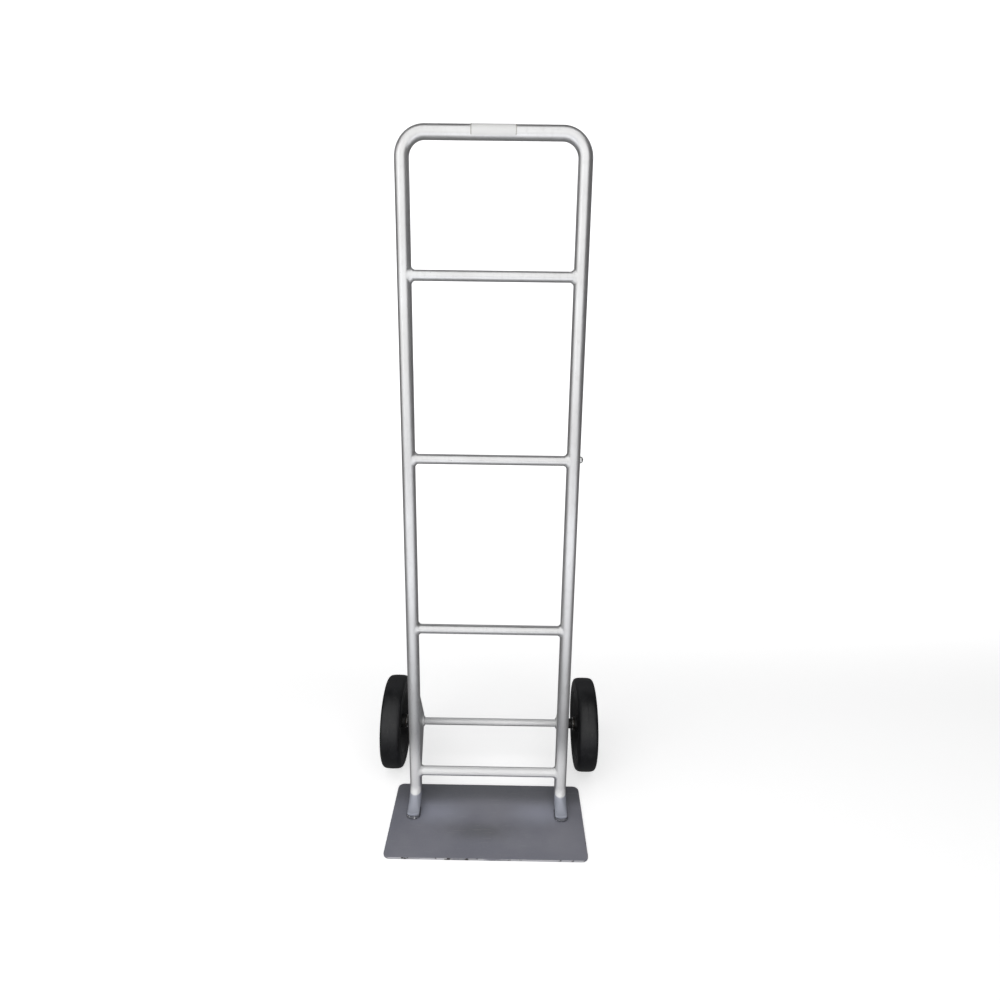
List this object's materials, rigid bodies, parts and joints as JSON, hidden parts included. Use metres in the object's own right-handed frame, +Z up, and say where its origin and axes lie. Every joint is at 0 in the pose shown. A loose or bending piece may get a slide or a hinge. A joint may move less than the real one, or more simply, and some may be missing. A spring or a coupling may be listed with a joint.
{
  "type": "hand truck",
  "caption": "Upright welded tube hand truck with a flat toe plate, cross rungs, a bow handle and solid rubber wheels on a fixed axle.",
  "frame": {"origin": "on the floor, below the middle of the truck's bounding box", "axes": "+Z up along the stringers, -Y to the front where the toe plate is, +X along the axle to the truck's right as seen from the front"},
  "size_m": [0.499, 0.389, 1.3245],
  "materials": {
    "silver_paint": "satin silver paint, worn",
    "plate_paint": "dark grey paint over steel, scuffed",
    "black_paint": "semi-gloss black paint",
    "tyre_rubber": "smooth solid rubber",
    "zinc": "bright zinc plate",
    "bronze": "sintered bronze",
    "sticker": "plain white vinyl"
  },
  "bodies": {
    "frame": {"axle": "silver_paint", "axle_bracket_left": "silver_paint", "axle_bracket_right": "silver_paint", "axle_spacer_left": "black_paint", "axle_spacer_right": "black_paint", "cotter_pin_left": "zinc", "cotter_pin_right": "zinc", "foot_plug_left": "silver_paint", "foot_plug_right": "silver_paint", "frame_tube": "silver_paint", "label": "sticker", "rung_bottom": "silver_paint", "rung_lower": "silver_paint", "rung_middle": "silver_paint", "rung_top": "silver_paint", "toe_plate": "plate_paint", "washer_inner_left": "zinc", "washer_inner_right": "zinc", "washer_outer_left": "zinc", "washer_outer_right": "zinc", "weld_axle_left": "silver_paint", "weld_axle_right": "silver_paint", "weld_bracket_plate_left": "silver_paint", "weld_bracket_plate_right": "silver_paint", "weld_bracket_tube_left": "silver_paint", "weld_bracket_tube_right": "silver_paint", "weld_foot_left": "silver_paint", "weld_foot_right": "silver_paint", "weld_lump": "silver_paint", "weld_rung_bottom_left": "silver_paint", "weld_rung_bottom_right": "silver_paint", "weld_rung_lower_left": "silver_paint", "weld_rung_lower_right": "silver_paint", "weld_rung_middle_left": "silver_paint", "weld_rung_middle_right": "silver_paint", "weld_rung_top_left": "silver_paint", "weld_rung_top_right": "silver_paint"},
    "wheel_left": {"bush_inner_left": "bronze", "bush_outer_left": "bronze", "hub_left": "black_paint", "rim_inner_left": "black_paint", "rim_outer_left": "black_paint", "rivet_1_left": "zinc", "rivet_2_left": "zinc", "rivet_3_left": "zinc", "rivet_4_left": "zinc", "tyre_left": "tyre_rubber"},
    "wheel_right": {"bush_inner_right": "bronze", "bush_outer_right": "bronze", "hub_right": "black_paint", "rim_inner_right": "black_paint", "rim_outer_right": "black_paint", "rivet_1_right": "zinc", "rivet_2_right": "zinc", "rivet_3_right": "zinc", "rivet_4_right": "zinc", "tyre_right": "tyre_rubber"}
  },
  "joints": [
    {"name": "wheel_left_spin", "type": "hinge", "parent": "frame", "child": "wheel_left", "pos_m": [-0.216, 0.0914, 0.1016], "axis": [1, 0, 0], "continuous": true},
    {"name": "wheel_right_spin", "type": "hinge", "parent": "frame", "child": "wheel_right", "pos_m": [0.216, 0.0914, 0.1016], "axis": [1, 0, 0], "continuous": true}
  ]
}
